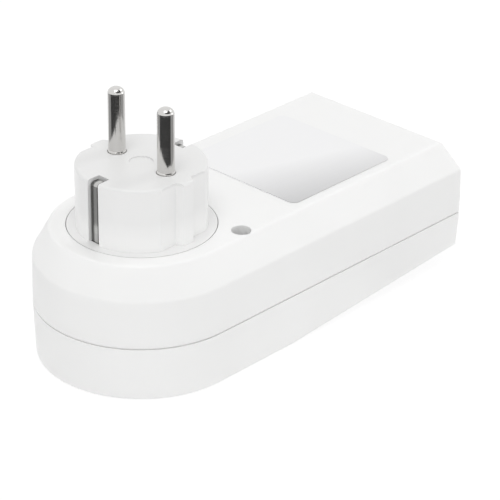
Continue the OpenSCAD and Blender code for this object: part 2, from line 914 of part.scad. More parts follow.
// Earth clips of the outlet, bowed into its recess and joined by a half ring behind it
module socket_earth_clips() {
    route = [
        [clip_x, foot_z],
        [clip_x, wall + cup_flange_thickness / 2],
        [socket_radius + cup_wall / 2, wall - 0.4],
        [clip_bow, wall + 1.8],
        [clip_bow, wall + 6],
        [socket_radius + cup_wall / 3, wall + 10]
    ];
    color("silver") place() {
        both_ends() bent_strip(route, strip_thickness, strip_width);
        translate([0, 0, ring_bottom])
            rotate(180)
                rotate_extrude(angle = 180, $fn = round_fn)
                    translate([clip_x - ring_thickness / 2, 0]) square([ring_thickness, ring_height]);
    }
}

// Flat copper lead from the line pin to the power board, with its eye on the pin's tail
module lead_line_in() {
    eye_radius = rivet_radius + 0.2;
    level = face_inside - strip_thickness / 2;
    across = 4;
    turn_x = 9;
    route = [
        [-lead_width / 2, level],
        [turn_x, level],
        [turn_x, foot_z],
        [power_start - 6, foot_z],
        [power_start - 1, pad_z],
        [power_start + 6, pad_z],
        [power_start + 6, power_bottom]
    ];
    color("peru") place() {
        translate([0, across, 0]) bent_strip(route, strip_thickness, lead_width);
        translate([0, 0, face_inside - strip_thickness])
            linear_extrude(strip_thickness)
                difference() {
                    union() {
                        translate([0, pin_y]) circle(eye_radius);
                        translate([-lead_width / 2, across - lead_width / 2])
                            square([lead_width, pin_y - across]);
                    }
                    translate([0, pin_y]) circle(tail_radius + fit / 2);
                }
    }
}

// Flat copper lead from a contact's tab to the power board
module tab_lead(side, width, pad_x) {
    level = sleeve_top - strip_thickness / 2;
    route = [
        [tab_reach - tab_width / 2, level],
        [tab_reach + 5, level],
        [power_start - 1, pad_z],
        [pad_x, pad_z],
        [pad_x, power_bottom]
    ];
    color("peru") place() translate([0, side * tab_y, 0]) bent_strip(route, strip_thickness, width);
}

module lead_line_out() {
    tab_lead(1, lead_width, power_start + 12);
}

module lead_neutral() {
    tab_lead(-1, sense_width, power_start + 6);
}

// Board with the supply and the measuring circuit, screwed under the rear wall
module power_board() {
    color("seagreen") place() translate([0, 0, power_bottom]) difference() {
        translate([power_middle, 0, 0])
            linear_extrude(board_thickness) rounded_rect([power_length, power_width], board_corner);
        power_screw_places()
            translate([0, 0, -over]) cylinder(r = board_screw_radius + fit, h = board_thickness + 2 * over);
    }
}

// Moves children to a place on the power board, with Z running down from its underside
module on_power(spot) {
    place() translate([power_start + spot.x, spot.y, power_bottom]) rotate([180, 0, 0]) children();
}

// Resistance strip that carries the measured current
module shunt() {
    side = shunt_span / 2;
    route = [[-side, 0], [-side, shunt_drop], [side, shunt_drop], [side, 0]];
    color("gray") on_power(shunt_place) bent_strip(route, strip_thickness, shunt_width);
}

module film_capacitor() {
    color("gold") on_power(film_place)
        linear_extrude(film_size.z) rounded_rect([film_size.x, film_size.y], film_corner);
}

// Round capacitor with the beaded groove of its can
module electrolytic_capacitor() {
    color("midnightblue") on_power(can_place) difference() {
        cylinder(r = can_radius, h = can_height);
        translate([0, 0, can_groove])
            rotate_extrude() translate([can_radius + bead_offset, 0]) circle(bead_radius, $fn = 16);
    }
}

// Disc varistor on two legs
module varistor() {
    color("royalblue") on_power(varistor_place) {
        translate([-varistor_thickness / 2, 0, varistor_leg + varistor_radius])
            rotate([0, 90, 0]) cylinder(r = varistor_radius, h = varistor_thickness);
        for (s = [-1, 1])
            translate([s * leg_place.x, s * leg_place.y, 0])
                cylinder(r = leg_radius, h = varistor_leg + leg_sink, $fn = 16);
    }
}

// Surface-mounted metering chip with two rows of leads
module metering_chip() {
    row = (chip_size.y + chip_foot.y) / 2 - chip_overlap;
    color("dimgray") on_power(chip_place) {
        translate([-chip_size.x / 2, -chip_size.y / 2, chip_lift]) cube(chip_size);
        for (i = [0:chip_leads - 1], s = [-1, 1])
            translate([(i - (chip_leads - 1) / 2) * chip_pitch, s * row, chip_foot.z / 2])
                cube(chip_foot, center = true);
    }
}

module crystal() {
    color("lightgray") on_power(crystal_place)
        linear_extrude(crystal_size.z) rounded_rect([crystal_size.x, crystal_size.y], crystal_corner);
}

// Rechargeable button cell with its two solder tabs
module backup_cell() {
    outline = [[0, 0], [cell_radius, 0], [cell_radius, cell_height], [0, cell_height]];
    color("darkgray") on_power(cell_place) {
        translate([0, 0, cell_tab.z])
            rotate_extrude() polygon(rounded(outline, [0, cell_rim, cell_rim, 0]));
        for (s = [-1, 1])
            translate([s * (cell_radius - 1) - cell_tab.x / 2, -cell_tab.y / 2, 0]) cube(cell_tab);
    }
}

// Flat cable between the two boards
module ribbon() {
    start = power_start + ribbon_place.x;
    end = start + ribbon_thickness;
    back = display_depth + board_thickness;
    color("lightgray") place()
        translate([0, ribbon_place.y, 0])
            rotate([90, 0, 0])
                linear_extrude(ribbon_width, center = true)
                    polygon([
                        [start, panel_z(start, back)],
                        [end, panel_z(end, back)],
                        [end, power_bottom],
                        [start, power_bottom]
                    ]);
}

// Board behind the front panel, with the key switches and the display
module display_board() {
    length = display_end - display_start;
    color("seagreen") place() panel_frame() translate([0, 0, display_depth]) difference() {
        translate([display_start + length / 2, 0, 0])
            linear_extrude(board_thickness) rounded_rect([length, 2 * display_half], board_corner);
        display_screw_places()
            translate([0, 0, -over]) cylinder(r = board_screw_radius + fit, h = board_thickness + 2 * over);
    }
}

module lcd_glass() {
    color("darkseagreen") place() panel_frame()
        translate([lens_row - lens_height / 2, -lens_width / 2, wall])
            cube([lens_height, lens_width, glass_thickness]);
}

// Frame round the display glass, standing between the panel and the display board
module lcd_holder() {
    inner = [lens_height + 2 * fit, lens_width + 2 * fit];
    outer = inner + 2 * holder_wall * [1, 1];
    color("whitesmoke") place() panel_frame()
        translate([lens_row, 0, wall])
            linear_extrude(display_depth - wall)
                difference() {
                    square(outer, center = true);
                    square(inner, center = true);
                }
}

// Striped rubber strips between the glass and the display board
module contact_strips() {
    size = [2, lens_width - 4];
    back = wall + glass_thickness;
    color("lightpink") place() panel_frame()
        for (row = strip_rows)
            translate([lens_row + row - size.x / 2, -size.y / 2, back])
                cube([size.x, size.y, display_depth - back]);
}

module lcd_lens() {
    color("lightcyan", 0.4) place() panel_frame()
        translate([lens_row, 0, 0]) linear_extrude(lens_thickness) rounded_rect([lens_height, lens_width], 2);
}

// Square switches on the display board, each with a bore for a key's stem
module key_switches() {
    color("dimgray") place() panel_frame()
        for (spot = concat([for (y = key_places) [key_row, y]], [[reset_row, reset_y]]))
            translate([spot.x, spot.y, display_depth - switch_height])
                difference() {
                    translate([-switch_size / 2, -switch_size / 2, 0])
                        cube([switch_size, switch_size, switch_height]);
                    translate([0, 0, -over])
                        cylinder(r = stem_radius + key_gap, h = over + stem_depth + stem_travel);
                }
}

// Stem of a key, from its rim into the bore of its switch
module key_stem() {
    rim_z = wall + fit;
    translate([0, 0, rim_z])
        cylinder(r = stem_radius, h = display_depth - switch_height + stem_depth - rim_z);
}

// Push key with a rim behind the panel
module push_key(y) {
    color("gainsboro") place() panel_frame() translate([key_row, y, 0]) {
        translate([0, 0, field_depth - key_proud])
            linear_extrude(wall + fit + rim_thickness - field_depth + key_proud) key_outline(0);
        translate([0, 0, wall + fit]) linear_extrude(rim_thickness) key_outline(key_rim);
        key_stem();
    }
}

module key_up() {
    push_key(key_places[0]);
}

module key_down() {
    push_key(key_places[1]);
}

module key_mode() {
    push_key(key_places[2]);
}

module key_set() {
    push_key(key_places[3]);
}

// Small round key that lies sunk in its hole
module key_reset() {
    color("gainsboro") place() panel_frame() translate([reset_row, reset_y, 0]) {
        translate([0, 0, reset_sink]) cylinder(r = reset_radius, h = wall + fit + rim_thickness - reset_sink);
        translate([0, 0, wall + fit]) cylinder(r = reset_radius + key_rim, h = rim_thickness);
        key_stem();
    }
}

module case_screws() {
    color("silver") place() well_places()
        translate([0, 0, parting_height + seat_thickness])
            screw(case_screw_radius, case_screw_length, case_screw_head);
}

module carrier_screws() {
    color("silver") place() both_ends()
        translate([carrier_screw_x, 0, carrier_top])
            screw(carrier_screw_radius, carrier_screw_length, carrier_screw_head);
}

// Screws of the power board, heads down, and of the display board, heads behind it
module board_screws() {
    color("silver") place() {
        power_screw_places()
            translate([0, 0, power_bottom])
                rotate([180, 0, 0]) screw(board_screw_radius, board_screw_length, board_screw_head);
        panel_frame() display_screw_places()
            translate([0, 0, display_depth + board_thickness])
                screw(board_screw_radius, board_screw_length, board_screw_head);
    }
}

// Bare silver sticker on the rear face
module rating_label() {
    color("silver") place()
        translate([label_x, label_y, body_height])
            linear_extrude(label_thickness) rounded_rect([label_length, label_width], label_corner);
}

rear_shell();
front_shell();
plug_insert();
pin_line();
pin_neutral();
plug_earth_strips();
socket_insert();
shutter();
shutter_spring();
contact_carrier();
contact_line();
contact_neutral();
neutral_strap();
socket_earth_clips();
lead_line_in();
lead_line_out();
lead_neutral();
power_board();
shunt();
film_capacitor();
electrolytic_capacitor();
varistor();
metering_chip();
crystal();
backup_cell();
ribbon();
display_board();
lcd_glass();
lcd_holder();
contact_strips();
lcd_lens();
key_switches();
key_up();
key_down();
key_mode();
key_set();
key_reset();
case_screws();
carrier_screws();
board_screws();
rating_label();
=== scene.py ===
import json
import math

import bmesh
import bpy
from mathutils import Matrix, Vector


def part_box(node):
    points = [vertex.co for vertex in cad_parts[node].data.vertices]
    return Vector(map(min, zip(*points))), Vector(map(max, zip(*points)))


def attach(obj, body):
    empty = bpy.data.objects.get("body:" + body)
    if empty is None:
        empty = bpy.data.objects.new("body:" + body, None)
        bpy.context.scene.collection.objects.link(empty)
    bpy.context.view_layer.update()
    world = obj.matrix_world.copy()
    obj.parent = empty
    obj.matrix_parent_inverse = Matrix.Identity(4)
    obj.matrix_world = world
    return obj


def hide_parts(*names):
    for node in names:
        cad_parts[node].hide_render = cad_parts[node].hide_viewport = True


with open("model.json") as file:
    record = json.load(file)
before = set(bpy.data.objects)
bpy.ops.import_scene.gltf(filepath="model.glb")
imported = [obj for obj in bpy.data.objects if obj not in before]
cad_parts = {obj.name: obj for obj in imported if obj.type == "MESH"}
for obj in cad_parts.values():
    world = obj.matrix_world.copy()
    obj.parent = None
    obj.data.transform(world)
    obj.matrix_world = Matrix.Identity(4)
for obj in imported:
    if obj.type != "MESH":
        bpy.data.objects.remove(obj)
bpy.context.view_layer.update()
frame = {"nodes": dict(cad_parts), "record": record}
nodes = frame["nodes"]
scene = bpy.context.scene
scene.view_settings.view_transform = "Standard"
mm = 0.001

# view of the photograph, from the fit of its outline
photoView = {
    "place": (-449.02, -428.40, 345.71),   # mm
    "azimuth": -46.84,                     # degrees
    "elevation": 27.93,
    "roll": 0.73,
    "focal": 2436.23,                      # pixels
    "frame": 500,                          # pixels
    "sensor": 36.0,                        # mm
    "farthest": 20.0,                      # m that the camera sees
}


def setCamera(view):
    azimuth, elevation, roll = (math.radians(view[k]) for k in ("azimuth", "elevation", "roll"))
    level = Vector((math.sin(azimuth), -math.cos(azimuth), 0))
    back = level * math.cos(elevation) + Vector((0, 0, math.sin(elevation)))
    right = back.cross(Vector((0, 0, -1))).normalized()
    up = back.cross(right)
    turn = Matrix((right, up, back)).transposed().to_4x4() @ Matrix.Rotation(roll, 4, "Z")
    data = bpy.data.cameras.new("photoCamera")
    data.sensor_width = view["sensor"]
    data.lens = view["sensor"] * view["focal"] / view["frame"]
    data.clip_end = view["farthest"]
    camera = bpy.data.objects.new("photoCamera", data)
    camera.matrix_world = Matrix.Translation(Vector(view["place"]) * mm) @ turn
    scene.collection.objects.link(camera)
    scene.camera = camera


setCamera(photoView)
print("camera set")

# studio: white surroundings, four soft lamps and a pale floor
studio = {
    "skyLevel": 0.708,        # level of the light from all round
    "skySeen": 1.0,           # level of the sky to the camera and in reflections
    "floorWhite": 0.9,        # share of the floor that is plain white to the camera
    "floorShade": 0.14,       # share that takes the shadow
    "floorBounce": 0.97,      # paleness of the floor to the light that it throws back
    "floorSize": 6.0,         # m
    "floorDrop": 0.0003,      # m below the housing
    "lamps": (
        # name, place, aim and size in m, watts
        ("keyLamp", (-0.5, -0.3, 1.5), (0, 0, 0.02), 0.9, 7.2),
        ("edgeLamp", (1.0, -0.25, 1.15), (0, 0, 0.02), 0.35, 1.6),
        ("fillLamp", (1.25, -1.1, 0.2), (0.05, 0, 0.02), 0.8, 1.4),
        ("frontLamp", (-1.1, -1.0, 0.25), (-0.03, 0, 0.02), 0.6, 0.5),
    ),
}


def keepMesh(name, sheet, finish):
    data = bpy.data.meshes.new(name)
    sheet.to_mesh(data)
    sheet.free()
    data.materials.append(finish)
    made = bpy.data.objects.new(name, data)
    scene.collection.objects.link(made)
    return made


def addNode(tree, kind, **sockets):
    node = tree.nodes.new(kind)
    for name, value in sockets.items():
        node.inputs[name].default_value = value
    return node


def emptyTree(owner):
    owner.use_nodes = True
    owner.node_tree.nodes.clear()
    return owner.node_tree


def grey(level):
    return (level, level, level, 1)


# mixes two shaders: the camera, reflections and glass get the first, the light gets the second
def seenAndLit(tree, seen, lit):
    path = tree.nodes.new("ShaderNodeLightPath")
    direct = path.outputs["Is Camera Ray"]
    for kind in ("Is Glossy Ray", "Is Transmission Ray"):
        either = tree.nodes.new("ShaderNodeMath")
        either.operation = "MAXIMUM"
        tree.links.new(direct, either.inputs[0])
        tree.links.new(path.outputs[kind], either.inputs[1])
        direct = either.outputs[0]
    mix = tree.nodes.new("ShaderNodeMixShader")
    tree.links.new(direct, mix.inputs[0])
    tree.links.new(lit.outputs[0], mix.inputs[1])
    tree.links.new(seen.outputs[0], mix.inputs[2])
    return mix.outputs[0]


def buildSky(s):
    scene.world = bpy.data.worlds.new("studioSky")
    tree = emptyTree(scene.world)
    seen = addNode(tree, "ShaderNodeBackground", Color=grey(1), Strength=s["skySeen"])
    lit = addNode(tree, "ShaderNodeBackground", Color=grey(1), Strength=s["skyLevel"])
    out = tree.nodes.new("ShaderNodeOutputWorld")
    tree.links.new(seenAndLit(tree, seen, lit), out.inputs["Surface"])


def floorPaint(s):
    paint = bpy.data.materials.new("paleFloor")
    tree = emptyTree(paint)
    shade = addNode(tree, "ShaderNodeBsdfDiffuse", Color=grey(s["floorShade"]))
    white = addNode(tree, "ShaderNodeEmission", Strength=s["floorWhite"])
    lit = addNode(tree, "ShaderNodeBsdfDiffuse", Color=grey(s["floorBounce"]))
    seen = tree.nodes.new("ShaderNodeAddShader")
    out = tree.nodes.new("ShaderNodeOutputMaterial")
    tree.links.new(shade.outputs[0], seen.inputs[0])
    tree.links.new(white.outputs[0], seen.inputs[1])
    tree.links.new(seenAndLit(tree, seen, lit), out.inputs["Surface"])
    return paint


def layFloor(s):
    sheet = bmesh.new()
    bmesh.ops.create_grid(sheet, x_segments=1, y_segments=1, size=s["floorSize"] / 2)
    bmesh.ops.translate(sheet, verts=sheet.verts, vec=(0, 0, -s["floorDrop"]))
    floor = keepMesh("paleFloor", sheet, floorPaint(s))


def hangLamps(s):
    for name, place, aim, width, watts in s["lamps"]:
        lamp = bpy.data.lights.new(name, "AREA")
        lamp.shape = "DISK"
        lamp.size = width
        lamp.energy = watts
        holder = bpy.data.objects.new(name, lamp)
        holder.location = place
        holder.rotation_euler = (Vector(aim) - Vector(place)).to_track_quat("-Z", "Y").to_euler()
        scene.collection.objects.link(holder)


buildSky(studio)
layFloor(studio)
hangLamps(studio)


def startFinish(name, colour, rough, metal=0.0):
    finish = bpy.data.materials.new(name)
    finish.use_nodes = True
    shader = finish.node_tree.nodes["Principled BSDF"]
    shader.inputs["Base Color"].default_value = (*colour, 1)
    shader.inputs["Roughness"].default_value = rough
    shader.inputs["Metallic"].default_value = metal
    return finish, finish.node_tree, shader


# cards that only reflections show: they give the pins their dark middle, grey flanks and shaded tips
cards = {
    "middle": 223.0,             # degrees, towards the camera
    "steps": 24,
    "rough": 0.9,
    "kinds": (
        # name, tone, reach and height of both edges in m, degrees to the left and right
        ("darkCard", 0.015, (0.11, 0.001), (2.2, 0.001), 75.0, 66.0),
        ("greyCard", 0.36, (0.085, 0.0005), (2.2, 0.0005), 120.0, 115.0),
        ("highCard", 0.06, (1.9, 1.45), (0.9, 2.3), 15.0, 115.0),
    ),
}


def layCard(c, name, tone, near, far, left, right):
    low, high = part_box("plug_insert")
    centre = Vector(((low[0] + high[0]) / 2, 0, 0))
    start = math.radians(c["middle"] - left)
    ray = Vector((math.cos(start), math.sin(start), 0))
    sheet = bmesh.new()
    ends = []
    for reach, height in (near, far):
        ends.append(sheet.verts.new(centre + ray * reach + Vector((0, 0, height))))
    edge = sheet.edges.new(ends)
    bmesh.ops.spin(sheet, geom=ends + [edge], cent=centre, axis=(0, 0, 1),
                   angle=math.radians(left + right), steps=c["steps"])
    card = keepMesh(name, sheet, startFinish(name, (tone,) * 3, c["rough"])[0])
    card.visible_camera = card.visible_diffuse = False
    card.visible_shadow = card.visible_transmission = False


for kind in cards["kinds"]:
    layCard(cards, *kind)
print("studio built")

# finishes, all on Object coordinates: grain scales are for metres, so 1000 gives about 1 mm
grainSpan = (0.3, 0.7)       # what the noise mostly runs between
cloudy = (45, 2.0)           # scale and detail of the slow change over moulded plastic
streaky = 2.0                # detail of streaks
turned = (1, 1, 30)          # rings round the pins
along = (0.03, 1, 1)         # streaks along the housing
upright = (1, 1, 0.04)       # streaks up and down


def grain(tree, scale, detail=3.0, stretch=(1, 1, 1)):
    place = tree.nodes.new("ShaderNodeTexCoord")
    drawn = addNode(tree, "ShaderNodeMapping", Scale=stretch)
    noise = addNode(tree, "ShaderNodeTexNoise", Scale=scale, Detail=detail)
    tree.links.new(place.outputs["Object"], drawn.inputs["Vector"])
    tree.links.new(drawn.outputs[0], noise.inputs["Vector"])
    return noise.outputs[0]


def shareOf(tree, source, start, end, low=0.0, high=1.0):
    limits = {"From Min": start, "From Max": end, "To Min": low, "To Max": high}
    span = addNode(tree, "ShaderNodeMapRange", **limits)
    tree.links.new(source, span.inputs["Value"])
    return span.outputs[0]


def roughBetween(tree, shader, source, low, high):
    tree.links.new(shareOf(tree, source, *grainSpan, low, high), shader.inputs["Roughness"])


def tintBetween(tree, shader, source, first, second):
    mix = tree.nodes.new("ShaderNodeMix")
    mix.data_type = "RGBA"
    colours = [s for s in mix.inputs if s.type == "RGBA"]
    colours[0].default_value = (*first, 1)
    colours[1].default_value = (*second, 1)
    tree.links.new(source, mix.inputs[0])
    tree.links.new([s for s in mix.outputs if s.type == "RGBA"][0], shader.inputs["Base Color"])


# runs from 0 to 1 between two levels along an axis, in mm, and a turn in degrees slants it about Z
def fade(tree, axis, low, high, bothSides=False, turn=0.0):
    place = tree.nodes.new("ShaderNodeTexCoord")
    slant = addNode(tree, "ShaderNodeMapping", Rotation=(0, 0, math.radians(turn)))
    split = tree.nodes.new("ShaderNodeSeparateXYZ")
    tree.links.new(place.outputs["Object"], slant.inputs["Vector"])
    tree.links.new(slant.outputs[0], split.inputs[0])
    level = split.outputs[axis]
    if bothSides:
        away = tree.nodes.new("ShaderNodeMath")
        away.operation = "ABSOLUTE"
        tree.links.new(level, away.inputs[0])
        level = away.outputs[0]
    return shareOf(tree, level, low * mm, high * mm)


def bumpBy(tree, shader, source, depth):
    bump = addNode(tree, "ShaderNodeBump", Strength=1.0, Distance=depth)
    tree.links.new(source, bump.inputs["Height"])
    tree.links.new(bump.outputs[0], shader.inputs["Normal"])


def shaded(colour, share):
    return tuple(c * share for c in colour)


def moulded(name, colour, rough=(0.36, 0.46), speck=2600, depth=4e-6, drift=0.97):
    finish, tree, shader = startFinish(name, colour, rough[0])
    wide = grain(tree, *cloudy)
    roughBetween(tree, shader, wide, *rough)
    tintBetween(tree, shader, wide, colour, shaded(colour, drift))
    bumpBy(tree, shader, grain(tree, speck), depth)
    return finish


def drawnMetal(name, colour, rough=(0.2, 0.34), stretch=upright, speck=1800, depth=2e-6,
               stain=160, drift=0.9):
    finish, tree, shader = startFinish(name, colour, rough[0], 1.0)
    streak = grain(tree, speck, streaky, stretch)
    roughBetween(tree, shader, streak, *rough)
    tintBetween(tree, shader, grain(tree, stain), colour, shaded(colour, drift))
    bumpBy(tree, shader, streak, depth)
    return finish


# white plastic lets a little light in, which softens wells and grooves
housing = {
    "colour": (0.90, 0.90, 0.895),
    "share": 0.35,               # of the light that goes in
    "reach": 1.2,                # mm that it goes
}


def housingPlastic(name, h):
    finish = moulded(name, h["colour"])
    shader = finish.node_tree.nodes["Principled BSDF"]
    shader.inputs["Subsurface Weight"].default_value = h["share"]
    shader.inputs["Subsurface Radius"].default_value = (1, 1, 1)
    shader.inputs["Subsurface Scale"].default_value = h["reach"] * mm
    return finish


plugTonesWithPaintedFootLight = {
    "span": (38.5, 57.5),        # mm, heights that the tones run between
    "tones": (
        # height in mm, tone: greyer disc, pale foot that is painted light thrown up from the disc,
        # wall, greyer face
        (38.82, 0.80), (38.9, 0.98), (47.5, 0.87), (56.4, 0.87), (56.9, 0.80),
    ),
    "blue": 0.995,               # share of blue in the tones
    "rough": (0.28, 0.36),
    "speck": 1800,
    "depth": 2e-6,               # m
}


def plugPlastic(name, p):
    finish, tree, shader = startFinish(name, (p["tones"][0][1],) * 3, p["rough"][0])
    roughBetween(tree, shader, grain(tree, *cloudy), *p["rough"])
    ramp = tree.nodes.new("ShaderNodeValToRGB")
    stops = ramp.color_ramp.elements
    low, high = p["span"]
    while len(stops) < len(p["tones"]):
        stops.new(0.5)
    for stop, (height, tone) in zip(stops, p["tones"]):
        stop.position = (height - low) / (high - low)
        stop.color = (tone, tone, p["blue"] * tone, 1)
    # tones by height up the plug; the pale foot is painted light, not a paler plastic
    tree.links.new(fade(tree, "Z", low, high), ramp.inputs[0])
    tree.links.new(ramp.outputs[0], shader.inputs["Base Color"])
    bumpBy(tree, shader, grain(tree, p["speck"]), p["depth"])
    return finish


earthStripWithPaintedShade = {
    "middle": (0.55, 0.55, 0.54),
    # painted shade: the strip's edges are darkened to this colour, standing in for the shadow gap in
    # the slot
    "edge": (0.17, 0.17, 0.165),
    "fade": (0.45, 0.85),        # mm from the middle of a strip to its edges, which are darkened as painted shade
    "rough": (0.14, 0.26),
    "speck": 1800,
    "depth": 2e-6,               # m
}


def sprungSteel(name, e):
    finish, tree, shader = startFinish(name, e["middle"], e["rough"][0], 1.0)
    streak = grain(tree, e["speck"], streaky, upright)
    roughBetween(tree, shader, streak, *e["rough"])
    # painted shade: darker towards both edges of the strip
    tintBetween(tree, shader, fade(tree, "Y", *e["fade"], bothSides=True), e["middle"], e["edge"])
    bumpBy(tree, shader, streak, e["depth"])
    return finish


ratingLabelWithPaintedReflection = {
    # painted reflection: the foil is darker on its near side and paler on its far side
    "near": (0.555, 0.555, 0.56),
    "far": (0.87, 0.87, 0.875),
    "fade": (-22.0, 4.0),        # mm across the label that the painted reflection runs over
    "turn": 19.0,                # degrees that the fade slants by
    "metal": 0.3,
    "rough": (0.34, 0.46),
    "speck": 1400,
    "depth": 1e-6,               # m
}


def labelFoil(name, f):
    finish, tree, shader = startFinish(name, f["far"], f["rough"][0], f["metal"])
    streak = grain(tree, f["speck"], streaky, along)
    roughBetween(tree, shader, streak, *f["rough"])
    # painted reflection: slanted fade from the near tone to the far tone
    tintBetween(tree, shader, fade(tree, "Y", *f["fade"], turn=f["turn"]), f["near"], f["far"])
    bumpBy(tree, shader, streak, f["depth"])
    return finish


lensPane = {
    "colour": (0.96, 0.98, 0.97),
    "index": 1.49,
    "rough": (0.02, 0.07),
    "haze": 220,
}


def clearLens(name, p):
    finish, tree, shader = startFinish(name, p["colour"], p["rough"][0])
    shader.inputs["Transmission Weight"].default_value = 1.0
    shader.inputs["IOR"].default_value = p["index"]
    roughBetween(tree, shader, grain(tree, p["haze"]), *p["rough"])
    return finish


glassPane = {
    "colour": (0.36, 0.41, 0.34),
    "drift": 0.93,
    "cloudy": (60, 1.0),
    "rough": (0.18, 0.26),
}


def displayGlass(name, p):
    finish, tree, shader = startFinish(name, p["colour"], p["rough"][0])
    wide = grain(tree, *p["cloudy"])
    roughBetween(tree, shader, wide, *p["rough"])
    tintBetween(tree, shader, wide, p["colour"], shaded(p["colour"], p["drift"]))
    return finish


finishes = {
    "housing_white": housingPlastic("housingWhite", housing),
    "plug_white": plugPlastic("plugWhite", plugTonesWithPaintedFootLight),
    "pin_nickel": drawnMetal("pinNickel", (0.70, 0.69, 0.675), (0.10, 0.2), turned, 220, 1.2e-6),
    "earth_steel": sprungSteel("earthSteel", earthStripWithPaintedShade),
    "shutter_orange": moulded("shutterOrange", (0.80, 0.33, 0.06)),
    "spring_steel": drawnMetal("springSteel", (0.5, 0.5, 0.5)),
    "carrier_ivory": moulded("carrierIvory", (0.84, 0.81, 0.70)),
    "contact_brass": drawnMetal("contactBrass", (0.78, 0.60, 0.30)),
    "strap_copper": drawnMetal("strapCopper", (0.74, 0.43, 0.28)),
    "board_green": moulded("boardGreen", (0.03, 0.20, 0.09), (0.25, 0.4), 900, 1e-5, 0.7),
    "shunt_alloy": drawnMetal("shuntAlloy", (0.52, 0.50, 0.47)),
    "film_yellow": moulded("filmYellow", (0.74, 0.52, 0.08)),
    "sleeve_blue": moulded("sleeveBlue", (0.04, 0.05, 0.18), (0.2, 0.3)),
    "varistor_blue": moulded("varistorBlue", (0.04, 0.17, 0.48), (0.2, 0.35), 500, 2e-5),
    "chip_black": moulded("chipBlack", (0.03, 0.03, 0.035), (0.5, 0.65)),
    "can_steel": drawnMetal("canSteel", (0.68, 0.68, 0.68)),
    "ribbon_grey": moulded("ribbonGrey", (0.55, 0.55, 0.55)),
    "lcd_glass": displayGlass("lcdGlass", glassPane),
    "strip_pink": moulded("stripPink", (0.72, 0.40, 0.40)),
    "lens_clear": clearLens("lensClear", lensPane),
    "key_grey": moulded("keyGrey", (0.40, 0.42, 0.44), (0.42, 0.55)),
    "screw_steel": drawnMetal("screwSteel", (0.6, 0.6, 0.6), (0.25, 0.4)),
    "label_silver": labelFoil("labelSilver", ratingLabelWithPaintedReflection),
}
prints = {
    "figuresOn": moulded("figuresOn", (0.025, 0.03, 0.028), (0.3, 0.4)),
    "figuresOff": moulded("figuresOff", (0.30, 0.345, 0.285), (0.25, 0.35)),
    "displayBorder": moulded("displayBorder", (0.09, 0.095, 0.10), (0.35, 0.45)),
    "keySigns": moulded("keySigns", (0.86, 0.86, 0.86), (0.4, 0.5)),
}
for part in frame["record"]["subparts"]:
    solid = nodes[part["node"]]
    if not solid.material_slots:
        solid.data.materials.append(None)
    for holder in solid.material_slots:
        holder.material = finishes[part["material_slot"]]
print("finishes given to %d solids" % len(nodes))

# front panel: X runs up the panel from its bend, Z runs into the housing
panel = {
    "bend": (-10.2, 0.0, 0.0),   # mm
    "tilt": 3.994,               # degrees
    "lensRow": 50.085,           # mm up the panel to the middle of the lens
}
atBend = Matrix.Translation(Vector(panel["bend"]) * mm)
tilted = Matrix.Rotation(-math.radians(panel["tilt"]), 4, "Y")
onPanel = atBend @ tilted @ Matrix.Scale(mm, 4)
weld = 1e-7                      # m, points nearer than this become one


def keepPiece(name, sheet, finish, body):
    bmesh.ops.remove_doubles(sheet, verts=sheet.verts, dist=weld)
    bmesh.ops.recalc_face_normals(sheet, faces=sheet.faces)
    piece = keepMesh(name, sheet, finish)
    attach(piece, body)
    return piece


def pointsIn(geom):
    return [v for v in geom if isinstance(v, bmesh.types.BMVert)]


# flat patch on the panel, in mm: up is towards the display end
def layPatch(sheet, right, up, width, height, corner, steps=1):
    place = Matrix.Translation((up, right, 0)) @ Matrix.Diagonal((height, width, 1, 1))
    made = bmesh.ops.create_grid(sheet, x_segments=1, y_segments=1, size=0.5, matrix=place)
    cut = bmesh.ops.bevel(sheet, geom=made["verts"], offset=corner, affect="VERTICES",
                          segments=steps, profile=0.5, material=-1)
    return cut["verts"][0].link_faces[0]


def layFrame(sheet, right, up, outer, inner, corners, steps):
    plates = []
    for size, corner in zip((outer, inner), corners):
        plates.append(layPatch(sheet, right, up, *size, corner, steps))
    rims = [e for plate in plates for e in plate.edges]
    bmesh.ops.delete(sheet, geom=plates, context="FACES_ONLY")
    bmesh.ops.bridge_loops(sheet, edges=rims)


# gives flat patches their thickness, outwards, and sets them at a depth behind the panel's face
def raiseFilm(sheet, thickness, depth):
    raised = bmesh.ops.extrude_face_region(sheet, geom=sheet.faces[:])
    bmesh.ops.translate(sheet, verts=pointsIn(raised["geom"]), vec=(0, 0, -thickness))
    bmesh.ops.translate(sheet, verts=sheet.verts, vec=(0, 0, depth))
    bmesh.ops.transform(sheet, verts=sheet.verts, matrix=onPanel)


# noughts on the display: strokes that are on, and the faint ones that are off
figures = {
    "depth": 2.2,                # mm to the outer face of the glass
    "film": 0.04,
    "gap": 0.14,                 # mm between strokes
    "strokeCorner": 0.45,        # shares of a stroke's width
    "dotCorner": 0.1,
    "dots": {":": (0.22, -0.22), ".": (-0.44,)},   # rise in heights
    "rows": (
        # marks, height, width, stroke, pitch, level, right end
        ("00:00:00", 4.2, 2.4, 0.46, 3.4, 7.6, 12.4),
        ("0000.0", 7.4, 4.2, 0.8, 5.8, 0.0, 12.4),
        ("00.000", 4.2, 2.4, 0.46, 3.4, -7.4, 12.4),
    ),
    "flag": (2.4, 1.5),          # small mark at the right of each row
    "flagStep": 2.6,
    "flagCorner": (0.3, 3),      # radius and steps
}
strokes = {
    # side and level in half widths and half heights, standing or not
    "top": (0, 1, False), "middle": (0, 0, False), "bottom": (0, -1, False),
    "leftUpper": (-1, 0.5, True), "rightUpper": (1, 0.5, True),
    "leftLower": (-1, -0.5, True), "rightLower": (1, -0.5, True),
}


def layFigure(on, off, f, right, up, height, width, stroke):
    across, tall = (width - stroke) / 2, (height - stroke) / 2
    for name, (side, level, standing) in strokes.items():
        sheet = off if name == "middle" else on
        size = (stroke, tall - f["gap"]) if standing else (2 * across - f["gap"], stroke)
        layPatch(sheet, right + side * across, up + level * tall, *size, f["strokeCorner"] * stroke)


